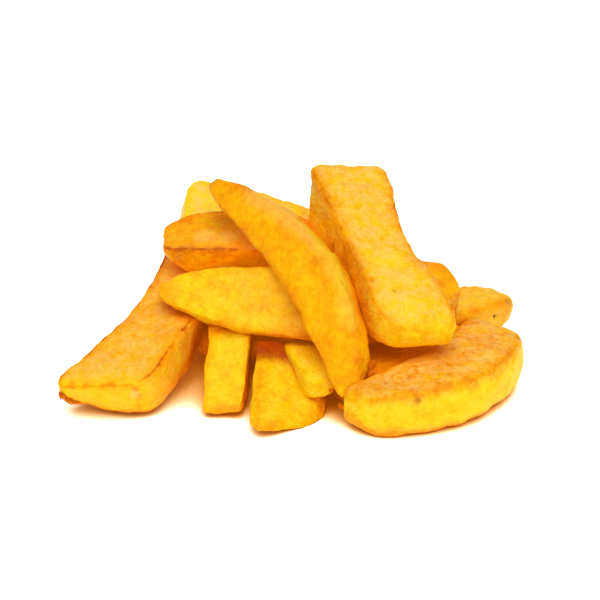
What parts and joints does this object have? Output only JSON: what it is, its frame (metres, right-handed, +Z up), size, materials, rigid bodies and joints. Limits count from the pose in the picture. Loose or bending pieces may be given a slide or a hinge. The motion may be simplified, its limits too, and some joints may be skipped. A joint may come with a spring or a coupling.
{
  "type": "heap of thick-cut fried potato chips",
  "caption": "Loose heap of thick-cut fried potato chips lying across each other on a flat surface, fused into one solid.",
  "frame": {"origin": "the middle of the heap's box in X and Y, on the surface it lies on", "axes": "+X to the right along the heap's width as the picture shows it, +Y to the back, +Z up"},
  "size_m": [0.1363, 0.1098, 0.0551],
  "materials": {
    "fried_potato": "satin, slightly oily"
  },
  "bodies": {
    "root": {"fries": "fried_potato"}
  },
  "joints": []
}
